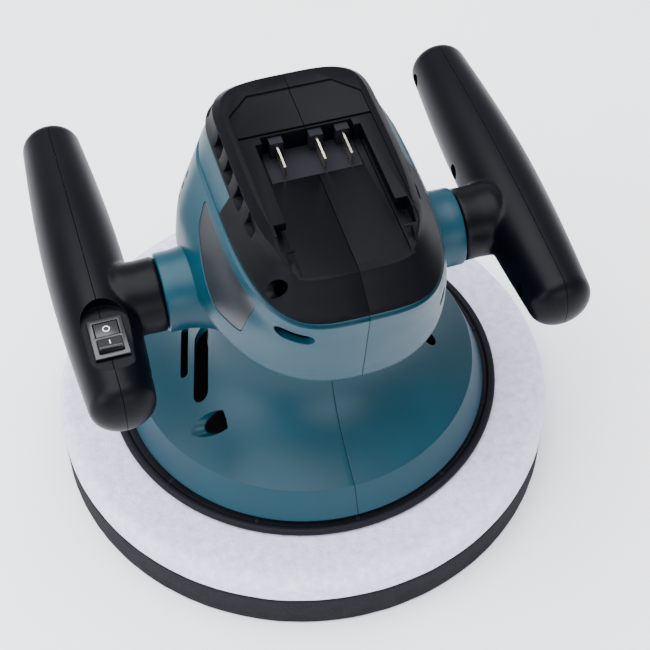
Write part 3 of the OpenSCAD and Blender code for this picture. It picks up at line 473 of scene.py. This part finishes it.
def darkLayer():
    e = pad["softEdge"]
    outline = [(r, 0.2) for r in steps(pad["coreR"], padR - e - 6, 12)]
    outline += [(padR - e - 3, 0.1)] + arcPoints(padR - e - 0.3, e, e, -90, 0, 5)
    outline += [(padR - 0.3, z) for z in steps(e + 1.5, foamSplit - 1.4, 10)]
    outline += [(padR - 0.5, foamSplit - 0.4), (padR - 1.2, foamSplit - 0.05)]
    outline += [(padR - 6, foamSplit), (pad["coreR"], foamSplit)]
    return pitted(turned("polishingFoam", outline, pad["sides"], (0, padY, 0)), "darkPits", 0.006, pad["relief"])


def paleLayer():
    e = pad["whiteRound"]
    base = foamSplit + 0.05
    outline = [(pad["coreR"], base), (padR - 7, base), (padR - 1.2, base + 0.05), (padR - 0.5, base + 0.5)]
    outline += [(padR - 0.3, z) for z in steps(base + 1.4, padTop - e, 6)]
    outline += arcPoints(padR - e - 0.3, padTop - e - 0.2, e, 0, 90, 9)[1:]
    outline += [(r, padTop - 0.2) for r in steps(padR - e - 3, pad["plateR"] - 6, 9)]
    outline += [(40, padTop - 0.2), (pad["coreR"], padTop - 0.2)]
    return pitted(turned("cushionFoam", outline, pad["sides"], (0, padY, 0)), "paleRelief", 0.02, pad["relief"] * 1.4)


foams = ((darkLayer(), "dark_foam", "polishing_foam"), (paleLayer(), "white_foam", "cushion_foam"))
for foam, slotName, node in foams:
    smooth(foam, 60)
    piece(foam, "pad", slotName, (node,))


def plateRim():
    z = padTop
    r = pad["plateR"]
    b = pad["bead"]
    outline = [(6, z), (r - b, z)] + arcPoints(r - b, z + b, b, -90, 90, 10)[1:]
    outline += [(r - b - 1.2, z + 2 * b - 0.3), (r - b - 2.2, z + 2.5), (24, z + 2.5), (6, z + 2.5)]
    disc = turned("backingPlate", outline, 160, (0, padY, 0))
    rib = box("rib", (28, -1, z + 1), (r - 4, 1, z + 3), 0.3)
    for turn in range(12):
        one = copyOf(rib, "ribCut")
        one.rotation_euler = (0, 0, math.radians(30 * turn))
        settle(one)
        one.location = (0, padY * mm, 0)
        settle(one)
        join(disc, one)
    bpy.data.objects.remove(rib)
    return disc


piece(smooth(plateRim()), "pad", "black_plastic", ("backing_plate",))
print("pad made")


# ---- teal housing ----

housing = {
    "wall": 3.0, "neckR": 43.0, "rimR": 87.0, "creaseR": 81.0, "canBore": 34.2, "collarR": 17.5, "collarEnd": 67.0,
    "flare": 9.0, "flareLen": 19.0, "stepY": -27.0, "tenonBore": 13.9,
}
bulbRows = [
    [-1, 42.9, 42.9, 42.9, 2, 2], [14, 46, 52, 45, 2.1, 2], [28, 51, 70, 47, 2.2, 2], [39, 55, 86, 49, 2.4, 2],
    [48, 54.6, 88.5, 49.5, 2.5, 2], [58, 53, 90.5, 48.5, 2.6, 2], [67, 50, 92, 46.5, 2.8, 2],
    [76, 46.5, 93.5, 43.5, 3, 2.05], [84.8, 43, 95.4, 40.5, 3.6, 2.15],
]
rimRows = [[85.2, 41.6, 94.4, 39.5, 3.6, 2.15], [88, 41.4, 95, 38.5, 3.8, 2.3], [96, 36.8, 91.5, 33, 4, 2.8]]


def bulbStack(first=-1, count=44):
    return [hermite(bulbRows, h) for h in steps(first, 84.8, count)] + rimRows


def bezier(points, t):
    s = 1 - t
    return sum((w * Vector(p) for w, p in zip((s**3, 3 * s * s * t, 3 * s * t * t, t**3), points)), Vector((0, 0)))


def skirtRing():
    h = housing
    guide = [(h["creaseR"], rimZ), (60, rimZ + 11.5), (h["neckR"] + 2, rimZ + 22.5), (h["neckR"], neckZ + 1)]
    outer = [tuple(bezier(guide, t)) for t in steps(0, 1, 26)]
    band = [(h["rimR"] - 0.9, skirtLow), (h["rimR"] - 0.25, skirtLow + 0.3), (h["rimR"], skirtLow + 1)]
    band += [(h["rimR"] - 6 * t, skirtLow + 1 + 15 * t) for t in steps(0.1, 0.94, 7)]
    inner = []
    for t in reversed(steps(0, 1, 16)):
        p, q = bezier(guide, t), bezier(guide, t + 0.01)
        d = (q - p).normalized()
        inner.append((p.x - d.y * h["wall"], p.y + d.x * h["wall"]))
    inner += [(h["rimR"] - 3.4, skirtLow + 2), (h["rimR"] - 3.0, skirtLow)]
    return turned("skirt", band + outer + inner, 160, closed=True)


def collar(side):
    h = housing
    r, end = h["collarR"], h["collarEnd"]
    flare = [(r + h["flare"] * (1 - math.sin(math.radians(a))), end - 5 - h["flareLen"] * math.cos(math.radians(a)))
             for a in steps(0, 90, 14)]
    rim = [(r, end - 1.2), (r - 0.25, end - 0.35), (r - 0.9, end)]
    outline = [(radius, side * x) for radius, x in flare + rim]
    return turned("collar", outline, 96, (0, stubY, gripZ), "X")


def housingBody():
    h = housing
    body = lofted("housingBody", bulbStack(), 0, neckZ)
    join(body, collar(-1), collar(1))
    hollow = [row for row in bulbStack(3, 40)] + [[98, 36.3, 91, 32.5, 4, 2.8]]
    cut(body, lofted("hollow", hollow, -h["wall"], neckZ))
    join(body, skirtRing())
    cut(body, turned("canBore", [(h["canBore"], neckZ - 6), (h["canBore"], neckZ + 40)], 96))
    for side in (-1, 1):
        cut(body, barX("tenon", h["tenonBore"], side * 43, side * 70, stubY, gripZ, 64))
    cut(body, box("frontStep", (-100, -150, bodyTop), (100, h["stepY"], bodyTop + 20)))
    return body


vents = {
    "slots": (((-60, -7), (-54, 15), 3.6), ((-55.5, -21), (-48.5, 2), 7.0)),
    "frontX": (-30.5, -24), "frontZ": 74.0, "frontR": 3.4,
}


def capsule(name, a, b, w, z0, z1):  # an upright slot with round ends
    dx, dy = b[0] - a[0], b[1] - a[1]
    turn = math.degrees(math.atan2(dy, dx))
    outline = []
    for centre, start in ((b, turn - 90), (a, turn + 90)):
        for t in steps(start, start + 180, 12):
            t = math.radians(t)
            outline.append((centre[0] + w / 2 * math.cos(t), centre[1] + w / 2 * math.sin(t)))
    return extruded(name, outline, "Z", z0, z1)


def mirrored(a):
    return (-a[0], a[1])


def plateOutline(grow):
    shape = [(-12, 82), (-70, 80), (-63, 56), (-45, 53), (-16, 70)]
    cy = sum(p[0] for p in shape) / 5
    cz = sum(p[1] for p in shape) / 5
    out = []
    for i, p in enumerate(shape):  # corners are rounded by a small arc between the neighbours
        a, b = Vector(shape[i - 1]), Vector(shape[(i + 1) % 5])
        p = Vector(p)
        u, v = (a - p).normalized(), (b - p).normalized()
        for t in steps(0, 1, 5):
            q = (1 - t)**2 * (p + u * 3) + 2 * t * (1 - t) * p + t * t * (p + v * 3)
            d = (q - Vector((cy, cz))).normalized()
            q = q + d * grow
            out.append((q.x, neckZ + q.y))
    return out


def housingHalves():
    left, right = halves(housingBody(), 0, seam, ("housingLeft", "housingRight"))
    for a, b, w in vents["slots"]:
        cut(left, capsule("vent", a, b, w, rimZ + 3, neckZ - 4))
        cut(right, capsule("vent", mirrored(a), mirrored(b), w, rimZ + 3, neckZ - 4))
    x0, x1 = vents["frontX"]
    slot = capsule("frontVent", (x0, vents["frontZ"]), (x1, vents["frontZ"]), vents["frontR"] * 2, 0, 1)
    for v in slot.data.vertices:
        x, y, z = v.co / mm
        v.co = Vector((x, -101 + z * 35, neckZ + y)) * mm
    cut(left, outward(slot))
    for y, z in ((-36, rimZ + 10), (36, rimZ + 10)):
        cut(left, barX("well", 3.5 if y > 0 else 5.3, -90, -28 if y > 0 else -48, y, z, 48))
    cut(left, barX("deepWell", 3.5, -60, -28, -36, rimZ + 10, 32))
    for y, z in ((-72, neckZ + 60), (40, neckZ + 50)):
        cut(right, barX("well", 3.5, 28, 70, y, z, 32))
    for side, half in ((-1, left), (1, right)):
        for level in range(3):
            cut(half, barX("pinHole", 1.6, side * 28, side * 56, 14, neckZ + 72 - 6 * level, 20))
    recess = extruded("recess", plateOutline(0.35), "X", -70, -30)
    keep = lofted("keep", bulbStack(30, 30), -1.0, neckZ)
    cut(recess, keep)
    cut(left, recess)
    return left, right


left, right = housingHalves()
for half, node in ((left, "housing_left"), (right, "housing_right")):
    piece(smooth(half, 30), "housing", "teal_plastic", (node,))
print("housing made")


def namePlate():
    plate = extruded("namePlate", plateOutline(0.0), "X", -70, -30)
    skin = lofted("skin", bulbStack(30, 30), -0.25, neckZ)
    combine(plate, (skin,), "INTERSECT")
    cut(plate, lofted("keep", bulbStack(30, 30), -0.95, neckZ))
    return plate


piece(smooth(namePlate()), "housing", "grey_plate", ("name_plate",))
print("name plate made")


# ---- battery dock ----

dock = {
    "half": 34.0, "slotHalf": 22.0, "slotRear": -13.0, "floorT": 3.0, "railFront": -63.0, "apron": -78.0,
    "notchPitch": 15.0, "panelHalf": 28.0, "panelRear": 15.0, "screws": ((-76, 4.8), (20, 12.5)),
}
dockRows = [
    [0.2, 41.7, 95.5, 39.5, 3.8, 2.3], [6, 38.2, 87, 35.5, 4, 3],
    [12, 35, 79, 30, 4.4, 3.6], [16.5, 33.7, 78, 27, 4.4, 3.8],
]
dockTop = [20.5, 30, 76, 23, 4.4, 3.8]


def dockBody():
    d = dock
    stack = [hermite(dockRows, h) for h in steps(0.2, 16.5, 14)] + [dockTop]
    body = lofted("dockBody", stack, 0, bodyTop)
    under = [[-3] + stack[0][1:]] + [row for row in stack if row[0] <= 7]
    cut(body, lofted("under", under, -d["floorT"], bodyTop))
    cut(body, box("rearStep", (-100, -27.2, bodyTop - 10), (100, 100, bodyTop + 8.2)))
    cut(body, box("railTop", (-100, -150, railZ), (100, 100, railZ + 20)))
    w, rear = d["panelHalf"], d["panelRear"]
    panel = box("panel", (-w, -120, railZ - 1), (w, rear, railZ + 1))
    for side in (-1, 1):
        chamfer = box("chamfer", (-7, -7, railZ - 2), (7, 7, railZ + 2))
        chamfer.rotation_euler = (0, 0, math.radians(45))
        settle(chamfer)
        chamfer.location = Vector((side * w, rear, 0)) * mm
        cut(panel, settle(chamfer))
    cut(body, panel)
    slotCut = box("slot", (-d["slotHalf"], -150, floorZ), (d["slotHalf"], d["slotRear"], railZ + 10))
    cut(body, slotCut)
    cut(body, box("undercut", (-25, -150, floorZ + 1.5), (25, d["slotRear"] - 2, floorZ + 5)))
    cut(body, box("latch", (-27, -68, floorZ + 1.5), (27, -57, railZ + 10)))
    slope = [(d["railFront"], railZ - 1.5), (d["apron"], floorZ), (-150, floorZ)]
    slope += [(-150, railZ + 10), (d["railFront"], railZ + 10)]
    cut(body, extruded("slope", slope, "X", -101, 101))
    cut(body, box("groove", (-w, -8.6, railZ - 2), (w, -7.4, railZ + 1)))
    cut(body, box("terminalPocket", (-19.1, -27.1, floorZ - 10), (19.1, -9.4, railZ + 1)))
    for i in range(4):
        y = -d["notchPitch"] * i
        for x0, x1 in ((-d["half"] - 8, 1.4 - d["half"]), (d["half"] - 1.4, d["half"] + 8)):
            cut(body, box("notch", (x0, y - 7.5, bodyTop + 9.5), (x1, y + 0.5, railZ - 3.5), 0.5))
    return body


leftDock, rightDock = halves(dockBody(), 0, seam, ("dockLeft", "dockRight"))
for y, h in dock["screws"]:
    cut(leftDock, barX("well", 3.4, -60, -20, y, bodyTop + h, 40))
for half, node in ((leftDock, "dock_left"), (rightDock, "dock_right")):
    piece(smooth(bevelEdges(half, 0.35 * mm, 38), 26), "housing", "dock_plastic", (node,))
print("dock made")


# ---- bar handles ----

grip = {
    "front": 75.0, "rear": 95.5, "frontR": 14.2, "rearR": 13.4, "swell": 3.6, "wall": 2.6, "screws": (-57, 18.5, 82),
}
switch = {"y": -41.0, "x": -gripX + 1, "recessHalf": 10.0, "recessLen": 37.0, "z": gripZ + 11.7}


def gripProfile(inset=0.0):
    g = grip
    front, rear = -g["front"] + inset, g["rear"] - inset
    rf, rr = g["frontR"] - inset, g["rearR"] - inset
    domeF, domeR = rf * 0.62, rr * 0.62
    out = []
    for a in (math.radians(t) for t in steps(0, 81, 9)):
        out.append((max(rf * math.sin(a), 0.4), front + domeF * (1 - math.cos(a))))
    for t in steps(0, 1, 40):
        out.append((rf + (rr - rf) * t + g["swell"] * math.sin(math.pi * t),
                    front + domeF + (rear - domeR - front - domeF) * t))
    for a in (math.radians(t) for t in steps(81, 0, 9)):
        out.append((max(rr * math.sin(a), 0.4), rear - domeR * (1 - math.cos(a))))
    return out


def handleShape(name):  # grip and stub run into each other with a soft fillet
    body = turned(name, gripProfile(), 72, (-gripX, 0, gripZ), "Y")
    stub = [(12, -53.1), (13.8, -53.4), (13.8, -67.3), (15.9, -67.3), (16.5, -68), (16.3, -72),
            (16.2, -76), (16.5, -80), (16.8, -84), (14, -92)]
    join(body, turned("stub", stub, 72, (0, stubY, gripZ), "X"))
    finishWith(body, "REMESH", mode="VOXEL", voxel_size=0.75 * mm, use_smooth_shade=True)
    finishWith(body, "SMOOTH", factor=0.5, iterations=14)
    return body


def handleHalves(side, names):
    body = handleShape("handle")
    hollow = turned("gripHollow", gripProfile(grip["wall"]), 48, (-gripX, 0, gripZ), "Y")
    if side < 0:  # the recess keeps a floor under it
        reach = switch["recessLen"] / 2 + 1
        cut(hollow, box("recessFloor", (-gripX - 30, switch["y"] - reach, switch["z"] - 2.4),
                        (-gripX + 30, switch["y"] + reach, switch["z"] + 20)))
    cut(body, hollow)
    cut(body, barX("stubHollow", 10.8, -95, -50, stubY, gripZ, 48))
    if side > 0:
        for v in body.data.vertices:
            v.co.x = -v.co.x
        outward(body)
    x = side * gripX
    for y in grip["screws"]:
        cut(body, barX("screwHole", 3.5, x + (7 if side < 0 else -40), x + (40 if side < 0 else -7), y, gripZ, 32))
    return halves(body, x, seam, names, 0.3)


outerLeft, innerLeft = handleHalves(-1, ("leftHandleOuter", "leftHandleInner"))
innerRight, outerRight = handleHalves(1, ("rightHandleInner", "rightHandleOuter"))


def recessCutter():
    s = switch
    half = s["recessLen"] / 2 - s["recessHalf"]
    ends = [(s["x"], s["y"] + side * half) for side in (-1, 1)]
    return capsule("recess", ends[0], ends[1], 2 * s["recessHalf"], s["z"], s["z"] + 20)


for half in (outerLeft, innerLeft):
    cut(half, recessCutter())
    cut(half, box("bodyHole", (switch["x"] - 6.7, switch["y"] - 9.5, switch["z"] - 16),
                  (switch["x"] + 6.7, switch["y"] + 9.5, switch["z"] + 1)))
for half, node in ((outerLeft, "left_handle_outer"), (innerLeft, "left_handle_inner"),
                   (outerRight, "right_handle_outer"), (innerRight, "right_handle_inner")):
    piece(smooth(half, 40), "housing", "handle_plastic", (node,))
print("handles made")


# ---- rocker switch ----

rocker = {
    "halfWidth": 5.0, "radius": 8.0, "pivotR": 1.2, "pinEnd": 6.0, "tilt": -10.0, "valley": 0.88, "crest": (7.6, 2.4),
}
pivotZ = switch["z"] + 0.6


def switchFrame():
    s = switch
    body = box("switchFrame", (s["x"] - 7.5, s["y"] - 10.5, s["z"] + 0.05),
               (s["x"] + 7.5, s["y"] + 10.5, s["z"] + 1.6), 0.5, 3)
    join(body, box("barrel", (s["x"] - 6.5, s["y"] - 9.3, s["z"] - 13), (s["x"] + 6.5, s["y"] + 9.3, s["z"] + 0.4)))
    cut(body, box("well", (s["x"] - 5.3, s["y"] - 8.3, s["z"] - 11), (s["x"] + 5.3, s["y"] + 8.3, s["z"] + 5)))
    return body


def rockerShape():
    outline = []
    outline += [(0, rocker["valley"]), rocker["crest"], (7.9, 1.9)]
    outline += arcPoints(0, 0, rocker["radius"], 8, -18, 6)
    outline += [(3, -6), (-3, -6)]
    outline += arcPoints(0, 0, rocker["radius"], 198, 172, 6)
    outline += [(-7.9, 1.9), (-rocker["crest"][0], rocker["crest"][1])]
    body = extruded("rocker", outline, "X", -rocker["halfWidth"], rocker["halfWidth"])
    bevelEdges(body, 0.3 * mm, 30)
    join(body, barX("pin", rocker["pivotR"], -rocker["pinEnd"], rocker["pinEnd"], 0, 0, 24))
    return body


def markRing():
    deselect()
    bpy.ops.mesh.primitive_torus_add(major_radius=1.35 * mm, minor_radius=0.22 * mm,
                                     major_segments=40, minor_segments=8)
    ring = bpy.context.object
    ring.scale = (1, 1, 0.5)
    settle(ring)
    ring.name = "offMark"
    return ring


def seat(obj, y, up, turn):  # lays a mark on one face of the rocker
    obj.rotation_euler = (math.radians(turn), 0, 0)
    settle(obj)
    obj.location = Vector((0, y, up)) * mm
    return settle(obj)


faceTurn = math.degrees(math.atan2(rocker["crest"][1] - rocker["valley"], rocker["crest"][0]))
markY = 4.2
markUp = rocker["valley"] + markY * math.tan(math.radians(faceTurn))
markWhite = moulded("markWhite", (0.75, 0.75, 0.78), 0.5, grain=1500, depth=0.05)
rockerParts = {
    "switchRocker": rockerShape(),
    "offMark": seat(markRing(), markY, markUp, faceTurn),
    "onMark": seat(box("onMark", (-0.22, -1.5, -0.1), (0.22, 1.5, 0.1), 0.06), -markY, markUp, -faceTurn),
}
for name, obj in rockerParts.items():
    obj.name = name
    obj.rotation_euler = (math.radians(rocker["tilt"]), 0, 0)
    settle(obj)
    obj.location = Vector((switch["x"], switch["y"], pivotZ)) * mm
    settle(obj)
    smooth(obj)
piece(rockerParts["switchRocker"], "rocker", "switch_plastic", ("switch_rocker",))
piece(rockerParts["offMark"], "rocker", "switch_plastic", (), markWhite)
piece(rockerParts["onMark"], "rocker", "switch_plastic", (), markWhite)
piece(smooth(switchFrame()), "housing", "switch_plastic", ("switch_frame",))
print("switch made")


# ---- floor, lights and camera ----

def softLamp(name, spot, aim, width, depth, power, colour):
    deselect()
    bpy.ops.object.light_add(type="AREA", location=spot)
    lamp = bpy.context.object
    lamp.name = name
    lamp.data.shape = "ELLIPSE"
    lamp.data.size = width
    lamp.data.size_y = depth
    lamp.data.energy = power
    lamp.data.color = colour
    lamp.rotation_euler = (Vector(aim) - Vector(spot)).to_track_quat("-Z", "Y").to_euler()


def studio():
    deselect()
    bpy.ops.mesh.primitive_plane_add(size=6)
    floor = bpy.context.object
    floor.name = "studioFloor"
    mat, tree, shader = nodesOf("paleFloor")
    soft = objectNoise(tree, 8, 2)
    tree.links.new(shade(tree, soft.outputs["Fac"], (0.93, 0.93, 0.94), (0.96, 0.96, 0.97)),
                   shader.inputs["Base Color"])
    shader.inputs["Roughness"].default_value = 0.9
    shader.inputs["Specular IOR Level"].default_value = 0.1
    floor.data.materials.append(mat)
    world = bpy.data.worlds.new("studio")
    world.use_nodes = True
    world.node_tree.nodes["Background"].inputs["Color"].default_value = (0.9, 0.93, 1.0, 1)
    world.node_tree.nodes["Background"].inputs["Strength"].default_value = 1.1
    bpy.context.scene.world = world
    softLamp("topSoftbox", (-0.25, 0.15, 1.6), (0, 0, 0.1), 2.2, 2.2, 85, (0.97, 0.98, 1.0))
    softLamp("leftSoftbox", (-1.5, -0.5, 0.75), (0, 0, 0.12), 1.4, 1.0, 22, (0.93, 0.95, 1.0))
    softLamp("frontSoftbox", (0.25, -1.7, 0.6), (0, 0, 0.12), 1.6, 0.8, 14, (0.9, 0.94, 1.0))


def photoCamera():
    eye, aim = Vector((-0.1269, -0.4556, 0.6526)), Vector((0.0204, 0.0322, 0.0301))
    data = bpy.data.cameras.new("camera")
    data.lens = 87.5
    data.sensor_width = 36
    cam = bpy.data.objects.new("camera", data)
    bpy.context.collection.objects.link(cam)
    turn = (aim - eye).to_track_quat("-Z", "Y").to_matrix().to_4x4() @ Matrix.Rotation(math.radians(-0.25), 4, "Z")
    cam.matrix_world = Matrix.Translation(eye) @ turn
    bpy.context.scene.camera = cam


studio()
photoCamera()
print("studio set")
